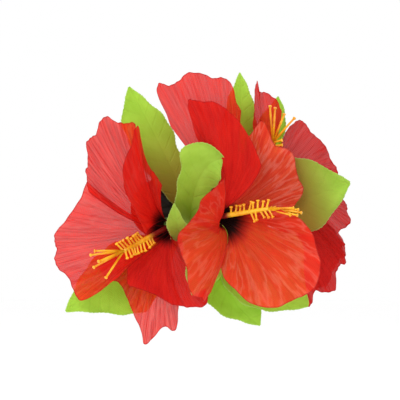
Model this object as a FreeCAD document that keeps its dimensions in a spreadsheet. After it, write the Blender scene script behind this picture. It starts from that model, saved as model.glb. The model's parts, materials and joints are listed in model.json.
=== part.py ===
import FreeCAD, Part
import math
import os

import Sketcher
from FreeCAD import Placement, Rotation, Vector

# Flower hair clip. Millimetres, +Z up as worn. The origin is the centre of the scalp face of the
# back arm, +X runs along the clip to its finger tails, and -Y points away from the head.
# Places on the flowers are given as (x, out, z), where out is the distance from the scalp face.

DIMENSIONS = {
    "metal": 0.8,  # sheet of both clip arms
    "arm_width": 9,
    "tip_x": -19,
    "tail_x": 37,
    "scalp_length": 38,  # flat run of the back arm, from its tip to the tail's bend
    "tail_angle": 22,
    "tail_length": 18,
    "tail_round": 3,  # corners of both finger tails
    "tip_round": 1.2,  # corners of the front arm's tip
    "bead_length": 28,  # stiffening grooves pressed along the scalp face, with ribs on the inside
    "bead_width": 1,
    "bead_out": 2.2,
    "bead_depth": 0.25,
    "grip_radius": 0.35,  # grooves across the finger tail
    "grip_first": 10,
    "grip_pitch": 2,
    "front_out": 7,  # outer face of the front arm
    "jaw_gap": 0.1,  # between the closed teeth and the front arm
    "tooth_depth": 1.2,
    "tooth_pitch": 2.4,
    "tooth_count": 3,
    "pivot_x": 17,
    "pivot_out": 4,
    "front_lug_radius": 2.3,
    "back_lug_radius": 2,
    "lug_gap": 0.2,
    "pin_radius": 1,
    "hole_radius": 1.05,
    "head_radius": 1.7,
    "head_height": 0.6,
    "spring_wire_radius": 0.35,
    "spring_radius": 1.55,
    "spring_pitch": 0.8,
    "spring_turns": 3,
    "spring_leg": 13,
    "pad_length": 72,
    "pad_height": 30,
    "pad_thickness": 2,
    "mound_length": 66,
    "mound_height": 22,
    "mound_thickness": 5.5,
    "mound_round": 3,
    "stem_radius": 1.2,
    "stem_hole_radius": 1.25,
    "stem_bend": 3.6,
    "stem_socket": 3,
    "calyx_length": 6,
    "calyx_base_radius": 2.2,
    "calyx_rim_radius": 4.8,
    "calyx_wall": 0.7,
    "calyx_rim": 0.6,
    "peg_radius": 1.6,
    "peg_socket_radius": 1.65,
    "peg_length": 2,
    "column_tip_radius": 1,
    "filament_radius": 0.45,
    "filament_length": 5,
    "anther_radius": 0.85,
    "petal_thickness": 0.4,
    "petal_ring": 3.2,
    "petal_claw": 28,  # half the angle that a petal's narrow end covers
    "petal_tube": 9,
    "petal_twist": 1.2,  # how far one side of a petal stands in front of the next petal
    "petal_reach": 0.6,
    "leaf_thickness": 0.5,
    "leaf_fold_width": 3,
}

SEAT = 0.1  # clearance between a seated piece and what it is glued to

# Each flower: throat, the way it faces, the angle of its first petal, how far behind the throat its
# stem bends, the end of its stamen column, the tips of the stamen's branches, filaments on the upper
# and lower side. A petal: the points that its outer rim passes through and how far it rises first.
FLOWERS = {
    "left": {
        "throat": (-16.5, 24, -9),
        "facing": (-0.64, 0.66, -0.38),
        "first_angle": -30,
        "stem_corner": 8.5,
        "column_tip": (-39, 46, -21),
        "branches": [(-53, 52, -21), (-55, 56, -23), (-51, 59, -26), (-53.5, 54, -29), (-47.5, 55, -34)],
        "filaments": (7, 7),
        "petals": {
            "inner": (7, [(-19.5, 36, 11), (-27.5, 42, 24), (-32.5, 46, 41), (-36.5, 52, 25),
                          (-39.5, 56, 10), (-27.5, 52, -12)]),
            "upper": (7, [(-33, 33, 41), (-46.5, 34, 45), (-55.5, 35, 36), (-57.5, 38, 23),
                          (-57.5, 42, 9)]),
            "side": (7, [(-57, 36, 13), (-71, 33, -10), (-74, 32, -21), (-69.5, 32, -32), (-60, 35, -45),
                          (-42, 39, -35)]),
            "lower": (4, [(-52.5, 26, -29), (-49, 26, -35), (-41, 28, -37), (-37, 31, -49),
                          (-30.5, 33, -60), (-27.5, 34, -68), (-19, 33, -60), (-13.5, 32, -59.5),
                          (-11, 30, -51), (-11, 29, -44)]),
            "right": (7, [(-37.5, 38, -30), (-36, 39, -39), (-23.5, 40, -43), (-12, 40, -48),
                          (-4, 39, -50), (2, 38, -46), (1, 36, -37), (-3, 33, -27), (-8, 30, -17)]),
        },
    },
    "middle": {
        "throat": (7.5, 34, -4),
        "facing": (0.88, 0.44, -0.06),
        "first_angle": -122,
        "stem_corner": 9.5,
        "column_tip": (33, 48, 0),
        "branches": [(49, 55, -2), (44, 52, 2.5), (43, 56, -4.5), (38, 54, 4), (38, 50, -4)],
        "filaments": (8, 4),
        "petals": {
            "lower": (7, [(17, 50, -46), (25, 52, -49), (38, 54, -49), (48.5, 55, -45), (53.5, 55, -41),
                          (58, 55, -32), (59, 55, -23), (55, 56, -13), (49, 56, -7)]),
            "right": (5, [(43.5, 35, -1), (48.5, 36, 4), (50, 36, 11), (47.5, 36, 20), (43, 36, 29),
                          (35.5, 36, 34), (29.5, 36, 43), (22.5, 37, 36)]),
            "back": (5, [(19, 33, 48), (16.5, 35, 60), (10.5, 37, 64), (1.5, 39, 68), (-8.5, 37, 65),
                          (-17.5, 35, 63), (-22, 33, 58), (-16, 31, 42)]),
            "front": (8, [(29.5, 45, 21), (26.5, 46, 31), (18, 47, 43), (10, 47, 52), (2, 46, 52),
                          (-6, 44, 56), (-6, 43, 48), (-3.5, 41, 36)]),
            "curled": (7, [(11.5, 52, 15), (-0.5, 55, 5), (-5.5, 56, -6), (-12, 54, -17),
                          (-7.5, 58, -31), (-4.5, 60, -43), (0.5, 58, -46), (7.5, 54, -41)]),
        },
    },
    "right": {
        "throat": (31.5, 21, 4),
        "facing": (0.3, 0.55, 0.75),
        "first_angle": -28,
        "stem_corner": 8,
        "column_tip": (35.5, 29, 33),
        "branches": [(34, 33, 51), (36.5, 35, 50), (41, 33, 47), (46, 36, 45)],
        "filaments": (6, 6),
        "petals": {
            "upper": (7, [(67, 12, 13), (68.5, 12, 21), (61.5, 12, 31), (54, 12, 40), (49, 12, 44.5),
                          (44, 13, 42), (39.5, 14, 33)]),
            "spike": (7, [(36.5, 20, 38), (39.5, 19, 47), (37.5, 19, 55), (30.5, 20, 58), (28.5, 21, 64),
                          (27, 22, 60), (26, 23, 52), (26, 24, 39)]),
            "hidden": (7, [(24, 22, 28), (17, 24, 28), (11.5, 25, 25), (11, 26, 14), (15, 24, 2)]),
            "lower": (7, [(49, 20, -46), (54, 19, -48), (58, 19, -43), (65.5, 18, -40), (69, 18, -32),
                          (71.5, 17, -27), (71, 17, -22), (71.5, 16, -18), (64, 16, -8)]),
            "side": (7, [(56, 11, -41), (65, 11, -35), (70, 11, -27), (71.5, 11, -21), (69.5, 11, -13),
                          (74, 11, -7), (74.5, 11, -2), (72.5, 11, 3), (66.5, 12, 9)]),
        },
    },
}

# Each leaf: heel, control point of its bowed midrib, tip, half widths left and right of the midrib
# at even steps from heel to tip, and how sharply it folds.
LEAVES = {
    "top_left": ((-6, 15.5, 0), (-17, 18, 25), (-37, 12, 62),
                 (4, 8, 11, 12.5, 13, 11, 0), (3, 5, 6, 7.5, 9, 5.5, 0), 0.12),
    "centre": ((-6, 15.5, -7), (-4, 52, 24), (11, 44, 25),
               (3, 8, 9, 9, 13, 9.5, 0), (1, 4, 7, 9, 9.5, 7, 0), 0.2),
    "bottom_left": ((-12, 11, -14), (-41, 19, -31), (-69, 18, -52),
                    (2, 10, 18, 23, 18, 8.5, 0), (2, 8, 13, 14, 12, 7, 0), 0.12),
    "top": ((17, 15.5, 4), (21, 20, 37), (19, 14, 69),
            (2, 6, 9, 10, 8.5, 5, 0), (2, 6, 8, 8, 7, 4.7, 0), 0.12),
    "right": ((22, 15.5, -3), (34, 44, -1), (75, 22, 13),
              (1, 5, 11, 16, 19, 14, 0), (2, 5, 9, 14, 17, 11, 0), 0.1),
    "top_right": ((27, 10, 13), (34, 12, 34), (38.5, 6, 57),
                  (2, 5, 8, 8, 7, 4, 0), (2, 5, 7, 7.2, 6.8, 5, 0), 0.12),
    "bottom": ((6, 10.5, -14), (8, 20, -45), (29.5, 19, -59),
               (2, 8, 12, 14, 13, 11, 0), (2, 9, 12, 12, 9, 4, 0), 0.12),
    "bottom_right": ((12, 15.5, -12), (10, 34, -40), (54, 28, -49),
                     (3, 12, 20, 25, 27, 27, 0), (2, 5, 9, 12, 11, 6.5, 0), 0.12),
    "small_left": ((-8, 15.5, -16), (-12, 42, -16), (-14, 33, 3),
                   (1, 3, 4.5, 5, 5, 3.5, 0), (1, 2.5, 4, 4.5, 4, 2.5, 0), 0.12),
    "small_lower": ((-1, 15.5, -15), (-5, 46, -16), (-5, 42, -43.5),
                    (1, 8, 12, 14, 15, 13, 0), (1, 3, 4.5, 4.8, 3.7, 2.6, 0), 0.1),
}

doc = FreeCAD.newDocument("flower_hair_clip")
sheet = doc.addObject("Spreadsheet::Sheet", "Dims")
for row, (alias, value) in enumerate(DIMENSIONS.items(), start=1):
    sheet.set(f"A{row}", alias)
    sheet.set(f"B{row}", str(value))
    sheet.setAlias(f"B{row}", alias)
doc.recompute()

made = []


def dim(alias):
    """A driving dimension's value from the sheet."""
    return float(sheet.get(alias))


# Helpers for bodies and sketches


def new_body(label):
    body = doc.addObject("PartDesign::Body", label)
    body.Label = label
    made.append(body)
    return body


def add_feature(label, shape, placement=None):
    """A sub-part whose shape comes from Part's own functions."""
    feature = doc.addObject("Part::Feature", label)
    feature.Label = label
    feature.Shape = shape
    feature.Placement = placement or Placement()
    made.append(feature)
    return feature


def origin_plane(body, role):
    return next(item for item in body.Origin.OriginFeatures if item.Role == role)


def new_sketch(body, name, role, offset=None):
    """A sketch on one of the body's own planes, moved along the plane's normal by an expression."""
    sketch = body.newObject("Sketcher::SketchObject", f"{body.Name}_{name}")
    sketch.AttachmentSupport = [(origin_plane(body, role), "")]
    sketch.MapMode = "FlatFace"
    if offset:
        sketch.setExpression("AttachmentOffset.Base.z", offset)
    return sketch


def bind(sketch, constraint, expression):
    """Adds a dimension to the sketch and ties it to the sheet."""
    index = sketch.addConstraint(constraint)
    sketch.setExpression(f"Constraints[{index}]", expression)


def value_of(sketch, expression):
    return float(sketch.evalExpression(expression))


def fix_point(sketch, geometry, end, across, up):
    """Holds a point at two sheet expressions, measured from the sketch's origin."""
    for kind, expression in (("DistanceX", across), ("DistanceY", up)):
        size = value_of(sketch, expression)
        bind(sketch, Sketcher.Constraint(kind, -1, 1, geometry, end, size), expression)


def add_polygon(sketch, corners):
    """A closed polygon whose corners are pairs of sheet expressions."""
    points = [Vector(value_of(sketch, a), value_of(sketch, b), 0) for a, b in corners]
    first = sketch.GeometryCount
    count = len(points)
    for i, point in enumerate(points):
        sketch.addGeometry(Part.LineSegment(point, points[(i + 1) % count]))
    for i, (across, up) in enumerate(corners):
        following = first + (i + 1) % count
        sketch.addConstraint(Sketcher.Constraint("Coincident", first + i, 2, following, 1))
        fix_point(sketch, first + i, 1, across, up)


def add_circle(sketch, across, up, radius):
    centre = Vector(value_of(sketch, across), value_of(sketch, up), 0)
    size = value_of(sketch, radius)
    index = sketch.addGeometry(Part.Circle(centre, Vector(0, 0, 1), size))
    fix_point(sketch, index, 3, across, up)
    bind(sketch, Sketcher.Constraint("Radius", index, size), radius)


def add_stadium(sketch, length, height):
    """A centred slot shape: two straight sides and two half circles."""
    half_height = value_of(sketch, f"{height} / 2")
    straight = value_of(sketch, f"({length} - {height}) / 2")
    top = Part.LineSegment(Vector(-straight, half_height, 0), Vector(straight, half_height, 0))
    low = Part.LineSegment(Vector(straight, -half_height, 0), Vector(-straight, -half_height, 0))
    right = Part.Circle(Vector(straight, 0, 0), Vector(0, 0, 1), half_height)
    left = Part.Circle(Vector(-straight, 0, 0), Vector(0, 0, 1), half_height)
    half_turn = math.pi / 2
    sketch.addGeometry(top)
    sketch.addGeometry(Part.ArcOfCircle(right, -half_turn, half_turn))
    sketch.addGeometry(low)
    sketch.addGeometry(Part.ArcOfCircle(left, half_turn, 3 * half_turn))
    fix_point(sketch, 0, 1, f"({height} - {length}) / 2", f"{height} / 2")
    fix_point(sketch, 0, 2, f"({length} - {height}) / 2", f"{height} / 2")
    fix_point(sketch, 2, 1, f"({length} - {height}) / 2", f"-{height} / 2")
    fix_point(sketch, 2, 2, f"({height} - {length}) / 2", f"-{height} / 2")
    for arc, sign in ((1, ""), (3, "-")):
        fix_point(sketch, arc, 3, f"{sign}({length} - {height}) / 2", "0")
    sketch.addConstraint(Sketcher.Constraint("Coincident", 0, 2, 1, 2))
    sketch.addConstraint(Sketcher.Constraint("Coincident", 2, 2, 3, 2))


def add_pad(body, sketch, length, both_ways=False):
    pad = body.newObject("PartDesign::Pad", f"{sketch.Name}_pad")
    pad.Profile = sketch
    pad.setExpression("Length", length)
    pad.Midplane = both_ways
    return pad


def add_pocket(body, sketch, length, both_ways=False):
    pocket = body.newObject("PartDesign::Pocket", f"{sketch.Name}_pocket")
    pocket.Profile = sketch
    pocket.setExpression("Length", length)
    pocket.Midplane = both_ways
    return pocket


def mirror_across(body, feature):
    """The same feature on the other edge of the arm."""
    mirror = body.newObject("PartDesign::Mirrored", f"{feature.Name}_mirror")
    mirror.Originals = [feature]
    mirror.MirrorPlane = (origin_plane(body, "XY_Plane"), [""])
    body.Tip = mirror
    return mirror


def add_lugs(body, radius, root, inner_face):
    """Two round-ended lugs that carry the hinge pin, and the hole through both."""
    tab = new_sketch(body, "lug", "XY_Plane", inner_face)
    add_polygon(tab, [(f"Dims.pivot_x - {radius}", root), (f"Dims.pivot_x + {radius}", root),
                      (f"Dims.pivot_x + {radius}", "-Dims.pivot_out"),
                      (f"Dims.pivot_x - {radius}", "-Dims.pivot_out")])
    mirror_across(body, add_pad(body, tab, "Dims.metal"))
    end = new_sketch(body, "lug_end", "XY_Plane", inner_face)
    add_circle(end, "Dims.pivot_x", "-Dims.pivot_out", radius)
    mirror_across(body, add_pad(body, end, "Dims.metal"))
    hole = new_sketch(body, "pin_hole", "XY_Plane")
    add_circle(hole, "Dims.pivot_x", "-Dims.pivot_out", "Dims.hole_radius")
    body.Tip = add_pocket(body, hole, "Dims.arm_width * 2", both_ways=True)


def round_end(body, feature, end_x, radius):
    """Rounds the two corners at one end of an arm, where its thickness stands on the edges."""
    doc.recompute()
    edges = []
    for index, edge in enumerate(feature.Shape.Edges, start=1):
        first, last = edge.firstVertex().Point, edge.lastVertex().Point
        if abs(first.z - last.z) < 0.01 and edge.Length < dim("metal") + 0.01:
            if abs(edge.CenterOfMass.x - end_x) < dim("metal"):
                edges.append(f"Edge{index}")
    rounding = body.newObject("PartDesign::Fillet", f"{feature.Name}_round")
    rounding.Base = (feature, edges)
    rounding.setExpression("Radius", radius)
    body.Tip = rounding
    return rounding


def press_beads(body):
    """Two grooves along the scalp face and the ribs that they raise on its inside."""
    groove = new_sketch(body, "groove", "XZ_Plane")
    rib = new_sketch(body, "rib", "XZ_Plane", "Dims.metal")
    for sketch in (groove, rib):
        sketch.setExpression("AttachmentOffset.Base.y", "Dims.bead_out")
        add_stadium(sketch, "Dims.bead_length", "Dims.bead_width")
    cut = add_pocket(body, groove, "Dims.bead_depth")
    cut.Reversed = True
    mirror_across(body, cut)
    mirror_across(body, add_pad(body, rib, "Dims.bead_depth"))


# The clip


def make_front_arm():
    """Flat arm that the felt pad is glued to. Its lugs stand outside the back arm's."""
    body = new_body("front_arm")
    side = new_sketch(body, "side", "XY_Plane")
    outer, inner = "-Dims.front_out", "Dims.metal - Dims.front_out"
    add_polygon(side, [("Dims.tip_x", outer), ("Dims.tail_x", outer), ("Dims.tail_x", inner),
                       ("Dims.tip_x", inner)])
    arm = add_pad(body, side, "Dims.arm_width", both_ways=True)
    arm = round_end(body, arm, dim("tip_x"), "Dims.tip_round")
    round_end(body, arm, dim("tail_x"), "Dims.tail_round")
    add_lugs(body, "Dims.front_lug_radius", inner, "Dims.arm_width / 2 - Dims.metal")


def make_back_arm():
    """Jaw plate that lies on the scalp, with a toothed lip at its tip and a grooved finger tail."""
    body = new_body("back_arm")
    side = new_sketch(body, "side", "XY_Plane")
    bend = "Dims.tip_x + Dims.scalp_length"
    inner_bend = f"{bend} + Dims.metal * tan(Dims.tail_angle * 1 deg / 2)"
    end_x = f"{bend} + Dims.tail_length * cos(Dims.tail_angle * 1 deg)"
    end_y = "Dims.tail_length * sin(Dims.tail_angle * 1 deg)"
    lip = "Dims.jaw_gap + Dims.metal - Dims.front_out"
    add_polygon(side, [("Dims.tip_x", "0"), ("Dims.tip_x", lip), ("Dims.tip_x + Dims.metal", lip),
                       ("Dims.tip_x + Dims.metal", "-Dims.metal"), (inner_bend, "-Dims.metal"),
                       (f"{end_x} + Dims.metal * sin(Dims.tail_angle * 1 deg)",
                        f"{end_y} - Dims.metal * cos(Dims.tail_angle * 1 deg)"),
                       (end_x, end_y), (bend, "0")])
    arm = add_pad(body, side, "Dims.arm_width", both_ways=True)
    round_end(body, arm, value_of(side, end_x), "Dims.tail_round")
    press_beads(body)
    inside_front_lug = "Dims.arm_width / 2 - 2 * Dims.metal - Dims.lug_gap"
    add_lugs(body, "Dims.back_lug_radius", "-Dims.metal", inside_front_lug)
    grip = new_sketch(body, "grip", "XY_Plane")
    for i in range(3):
        distance = f"(Dims.grip_first + {i} * Dims.grip_pitch)"
        add_circle(grip, f"{bend} + {distance} * cos(Dims.tail_angle * 1 deg)",
                   f"{distance} * sin(Dims.tail_angle * 1 deg)", "Dims.grip_radius")
    add_pocket(body, grip, "Dims.arm_width * 2", both_ways=True)
    notch = new_sketch(body, "notch", "YZ_Plane", "Dims.tip_x + 1.5 * Dims.metal")
    first = "Dims.tooth_pitch * (1 - Dims.tooth_count) / 2"
    deep = "0.01 - Dims.tooth_depth"
    add_polygon(notch, [(f"{lip} - 0.01", f"{first} - Dims.tooth_pitch / 2"),
                        (f"{lip} - 0.01", f"{first} + Dims.tooth_pitch / 2"),
                        (f"{lip} - ({deep})", first)])
    pocket = add_pocket(body, notch, "2 * Dims.metal")
    pattern = body.newObject("PartDesign::LinearPattern", "back_arm_teeth")
    pattern.Originals = [pocket]
    pattern.Direction = (notch, ["V_Axis"])
    pattern.setExpression("Occurrences", "Dims.tooth_count")
    pattern.setExpression("Length", "Dims.tooth_pitch * (Dims.tooth_count - 1)")
    body.Tip = pattern


def make_hinge_pin():
    """Headed pin through the four lugs."""
    body = new_body("hinge_pin")
    body.Placement = Placement(Vector(dim("pivot_x"), -dim("pivot_out"), 0), Rotation())
    half = new_sketch(body, "half", "XZ_Plane")
    under = "Dims.arm_width / 2 + 0.05"
    top = f"{under} + Dims.head_height"
    add_polygon(half, [("0", f"-({top})"), ("Dims.head_radius", f"-({top})"),
                       ("Dims.head_radius", f"-({under})"), ("Dims.pin_radius", f"-({under})"),
                       ("Dims.pin_radius", under), ("Dims.head_radius", under),
                       ("Dims.head_radius", top), ("0", top)])
    turn = body.newObject("PartDesign::Revolution", "hinge_pin_turn")
    turn.Profile = half
    turn.ReferenceAxis = (half, ["V_Axis"])
    turn.Angle = 360
    body.Tip = turn


def make_torsion_spring():
    """Wire coil around the pin with one leg along each tail."""
    radius = dim("spring_radius")
    wire_radius = dim("spring_wire_radius")
    start = 90 + dim("tail_angle")
    turns = dim("spring_turns") + (270 - start) / 360
    height = turns * dim("spring_pitch")
    helix = Part.makeHelix(dim("spring_pitch"), height, radius)
    slope = math.atan2(dim("spring_pitch"), 2 * math.pi * radius)
    section = Part.Circle(Vector(radius, 0, 0), Vector(0, math.cos(slope), math.sin(slope)), wire_radius)
    coil = helix.makePipeShell([Part.Wire(section.toShape())], True, True)
    coil.Placement = Placement(Vector(0, 0, -height / 2), Rotation(Vector(0, 0, 1), start))
    pieces = [coil]
    for angle, heading, level in ((start, dim("tail_angle"), -height / 2), (270, 0, height / 2)):
        turn, way = math.radians(angle), math.radians(heading)
        at = Vector(radius * math.cos(turn), radius * math.sin(turn), level)
        along = Vector(math.cos(way), math.sin(way), 0)
        pieces.append(Part.makeSphere(wire_radius, at))
        pieces.append(Part.makeCylinder(wire_radius, dim("spring_leg"), at, along))
    spring = pieces[0].multiFuse(pieces[1:])
    pivot = Placement(Vector(dim("pivot_x"), -dim("pivot_out"), 0), Rotation())
    add_feature("torsion_spring", spring.Solids[0], pivot)


def make_felt_pad():
    body = new_body("felt_pad")
    body.Placement = Placement(Vector(0, -dim("front_out"), 0), Rotation())
    face = new_sketch(body, "face", "XZ_Plane")
    add_stadium(face, "Dims.pad_length", "Dims.pad_height")
    body.Tip = add_pad(body, face, "Dims.pad_thickness")


def make_glue_mound():
    """Set glue that holds the stems and the leaves' heels to the pad."""
    body = new_body("glue_mound")
    body.Placement = Placement(Vector(0, -dim("front_out") - dim("pad_thickness"), 0), Rotation())
    face = new_sketch(body, "face", "XZ_Plane")
    add_stadium(face, "Dims.mound_length", "Dims.mound_height")
    pad = add_pad(body, face, "Dims.mound_thickness")
    doc.recompute()
    front = -dim("mound_thickness")
    edges = [f"Edge{i}" for i, edge in enumerate(pad.Shape.Edges, start=1)
             if abs(edge.BoundBox.YMin - front) < 0.01 and abs(edge.BoundBox.YMax - front) < 0.01]
    rounding = body.newObject("PartDesign::Fillet", "glue_mound_round")
    rounding.Base = (pad, edges)
    rounding.setExpression("Radius", "Dims.mound_round")
    holes = new_sketch(body, "stem_holes", "XZ_Plane")
    for flower in FLOWERS.values():
        corner = stem_corner(flower)
        add_circle(holes, str(corner.x), str(corner.z), "Dims.stem_hole_radius")
    body.Tip = add_pocket(body, holes, "2 * Dims.mound_thickness", both_ways=True)


# The flowers


def place(point):
    """A point given as (x, out, z) in the frame."""
    x, out, z = point
    return Vector(x, -out, z)


def facing_of(flower):
    return place(flower["facing"]).normalize()


def frame_of(flower):
    """The way a flower faces, the upward direction across it and the third direction."""
    facing = facing_of(flower)
    up = Vector(0, 0, 1) - facing * facing.z
    up.normalize()
    return facing, up, facing.cross(up)


def stem_corner(flower):
    return place(flower["throat"]) - facing_of(flower) * flower["stem_corner"]


def make_stem(name, flower):
    """Wire from the calyx socket, bent once, into the glue down to the felt."""
    facing = facing_of(flower)
    start = place(flower["throat"]) - facing * (dim("calyx_length") - dim("stem_socket") + SEAT)
    corner = stem_corner(flower)
    inward = Vector(0, 1, 0)
    end = Vector(corner.x, -dim("front_out") - dim("pad_thickness") - SEAT, corner.z)
    turn = (facing * -1).getAngle(inward)
    reach = dim("stem_bend") * math.tan(turn / 2)
    first = corner + facing * reach
    last = corner + inward * reach
    bisector = (facing + inward).normalize()
    centre = corner + bisector * (dim("stem_bend") / math.cos(turn / 2))
    middle = centre - bisector * dim("stem_bend")
    path = Part.Wire([Part.LineSegment(start, first).toShape(), Part.Arc(first, middle, last).toShape(),
                      Part.LineSegment(last, end).toShape()])
    section = Part.Wire(Part.Circle(start, facing, dim("stem_radius")).toShape())
    add_feature(f"{name}_stem", path.makePipeShell([section], True, True))


def make_calyx(name, flower):
    """Turned green cup with a stem socket behind and a stamen socket in its floor."""
    body = new_body(f"{name}_calyx")
    body.Placement = Placement(place(flower["throat"]), Rotation(Vector(0, 0, 1), facing_of(flower)))
    half = new_sketch(body, "half", "XZ_Plane")
    back = "-Dims.calyx_length"
    inner = "Dims.calyx_rim_radius - Dims.calyx_wall"
    socket = "Dims.stem_socket - Dims.calyx_length"
    floor = str(-SEAT)
    peg_floor = f"-Dims.peg_length - {2 * SEAT}"
    add_polygon(half, [("Dims.stem_hole_radius", back), ("Dims.calyx_base_radius", back),
                       ("Dims.calyx_rim_radius", floor), ("Dims.calyx_rim_radius", "Dims.calyx_rim"),
                       (inner, "Dims.calyx_rim"), (inner, floor), ("Dims.peg_socket_radius", floor),
                       ("Dims.peg_socket_radius", peg_floor), ("0", peg_floor), ("0", socket),
                       ("Dims.stem_hole_radius", socket)])
    turn = body.newObject("PartDesign::Revolution", f"{name}_calyx_turn")
    turn.Profile = half
    turn.ReferenceAxis = (half, ["V_Axis"])
    turn.Angle = 360
    body.Tip = turn


def rod(start, end, radius, end_radius=None):
    """A straight round rod, tapered when it has a second radius."""
    along = end - start
    if end_radius is None:
        return Part.makeCylinder(radius, along.Length, start, along)
    return Part.makeCone(radius, end_radius, along.Length, start, along)


def make_stamen(name, flower):
    """One moulded piece: peg, column, two rows of filaments with anthers and the end branches."""
    facing = facing_of(flower)
    throat = place(flower["throat"])
    tip = place(flower["column_tip"])
    knee = throat + facing * (dim("peg_length") / 2)
    along = (tip - knee).normalize()
    across = along.cross(Vector(0, 1, 0)).normalize()
    pieces = [rod(throat - facing * dim("peg_length"), knee, dim("peg_radius")),
              Part.makeSphere(dim("peg_radius"), knee),
              rod(knee, tip, dim("peg_radius"), dim("column_tip_radius")),
              Part.makeSphere(dim("column_tip_radius"), tip)]
    ends = [(tip, place(branch)) for branch in flower["branches"]]
    for count, side in zip(flower["filaments"], (-1, 1)):
        for i in range(count):
            share = 0.95 - 0.09 * i - 0.02 * side
            root = knee + (tip - knee) * share
            reach = (across * side + along * 0.55).normalize() * dim("filament_length")
            ends.append((root, root + reach))
    for root, end in ends:
        pieces.append(rod(root, end, dim("filament_radius")))
        pieces.append(Part.makeSphere(dim("anther_radius"), end))
    stamen = pieces[0].multiFuse(pieces[1:])
    add_feature(f"{name}_stamen", stamen.Solids[0])


# Petals and leaves: thin curved sheets


def along_rim(points, share):
    """A smooth curve through the points, read at a share from 0 to 1."""
    spans = len(points) - 1
    index = min(int(share * spans), spans - 1)
    step = share * spans - index
    before = points[index - 1] if index else points[0] * 2 - points[1]
    after = points[index + 2] if index + 2 <= spans else points[-1] * 2 - points[-2]
    start, end = points[index], points[index + 1]
    return (start * 2 + (end - before) * step
            + (before * 2 - start * 5 + end * 4 - after) * step**2
            + (start * 3 - end * 3 + after - before) * step**3) * 0.5


def bezier(points, share):
    """A point on the Bezier curve of the control points."""
    while len(points) > 1:
        points = [a * (1 - share) + b * share for a, b in zip(points, points[1:])]
    return points[0]


def petal_point(flower, order, rise, rim, length_share, side):
    """A petal rises from the ring as part of a tube, then opens out to its rim."""
    facing, up, third = frame_of(flower)
    throat = place(flower["throat"])
    angle = math.radians(flower["first_angle"] + 72 * order + side * dim("petal_claw"))
    ring = throat + (up * math.cos(angle) + third * math.sin(angle)) * dim("petal_ring")
    twist = dim("petal_twist") * side
    outer = along_rim(rim, (side + 1) / 2)
    shoulder = throat + (outer - throat) * dim("petal_reach") + facing * (rise + twist)
    return bezier([ring, ring + facing * (dim("petal_tube") + twist), shoulder, outer], length_share)


def leaf_point(leaf, length_share, side):
    """A pointed blade, slightly folded along its bowed midrib."""
    heel, bow, tip, left, right, fold = leaf
    spine = [place(heel), place(bow), place(tip)]
    centre = bezier(spine, length_share)
    along = bezier([spine[1] - spine[0], spine[2] - spine[1]], length_share).normalize()
    across = along.cross(Vector(0, -1, 0)).normalize()
    outward = across.cross(along)
    if outward.y > 0:
        outward = outward * -1
    half_width = max(0, along_rim(right if side > 0 else left, length_share))
    reach = side * half_width
    lift = fold * abs(reach) * min(1, abs(reach) / dim("leaf_fold_width"))
    return centre + across * reach + outward * lift


def sheet_solid(surface, rows, columns, thickness, last_row):
    """A closed solid of even thickness about a surface given as a function of two shares."""
    step = 0.004
    front, back = [], []
    for i in range(rows):
        u = last_row * i / (rows - 1)
        front_row, back_row = [], []
        for j in range(columns):
            v = 2 * j / (columns - 1) - 1
            point = surface(u, v)
            along = surface(min(u + step, 1), v) - surface(max(u - step, 0), v)
            across = surface(u, min(v + step, 1)) - surface(u, max(v - step, -1))
            normal = along.cross(across).normalize() * (thickness / 2)
            front_row.append(point + normal)
            back_row.append(point - normal)
        front.append(front_row)
        back.append(back_row)
    return closed_between(front, back)


def spline_face(poles):
    """A smooth face over a net of control points, straight across where the net has two rows."""
    knots, mults, degrees = [], [], []
    for count in (len(poles), len(poles[0])):
        degree = min(3, count - 1)
        degrees.append(degree)
        spans = count - degree
        knots.append([i / spans for i in range(spans + 1)])
        mults.append([degree + 1] + [1] * (spans - 1) + [degree + 1])
    surface = Part.BSplineSurface()
    surface.buildFromPolesMultsKnots(poles, *mults, *knots, False, False, *degrees)
    return surface.toShape()


def closed_between(front, back):
    """Joins two nets of control points and their four edges into one solid."""
    nets = [front, back, [front[0], back[0]], [front[-1], back[-1]]]
    for column in (0, -1):
        nets.append([[row[column] for row in front], [row[column] for row in back]])
    shell = Part.makeShell([spline_face(net) for net in nets])
    shell.sewShape()
    solid = Part.makeSolid(Part.Shell(shell.Faces))
    if solid.Volume < 0:
        solid.reverse()
    return solid


def make_petals(name, flower):
    for order, (petal, (rise, rim)) in enumerate(flower["petals"].items()):
        points = [place(point) for point in rim]

        def surface(u, v):
            return petal_point(flower, order, rise, points, u, v)

        solid = sheet_solid(surface, 9, 2 * len(points) + 3, dim("petal_thickness"), 1)
        add_feature(f"{name}_petal_{petal}", solid)


def make_leaf(name, leaf):
    def surface(u, v):
        return leaf_point(leaf, u, v)

    blunt_tip = 0.985  # the blade ends just short of a point, where it would have no width
    add_feature(f"leaf_{name}", sheet_solid(surface, 15, 9, dim("leaf_thickness"), blunt_tip))


make_front_arm()
make_back_arm()
make_hinge_pin()
make_torsion_spring()
make_felt_pad()
make_glue_mound()
for name, flower in FLOWERS.items():
    make_stem(name, flower)
    make_calyx(name, flower)
    make_stamen(name, flower)
    make_petals(name, flower)
for name, leaf in LEAVES.items():
    make_leaf(name, leaf)
doc.recompute()

failed = [item.Name for item in doc.Objects if {"Invalid", "Error"} & set(item.State)]
if failed:
    raise RuntimeError(f"failed: {failed}")
for item in made:
    shape = item.Shape
    if shape.isNull() or not shape.isValid() or shape.Volume <= 0:
        raise RuntimeError(f"bad shape: {item.Label}")

os.makedirs("parts", exist_ok=True)
for item in made:
    item.Shape.exportStep(f"parts/{item.Label}.step")
    box = item.Shape.BoundBox
    print(f"{item.Label}: {item.Shape.Volume:.1f} mm3, "
          f"{box.XLength:.1f} x {box.YLength:.1f} x {box.ZLength:.1f}")
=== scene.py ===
import json
import math

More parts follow.
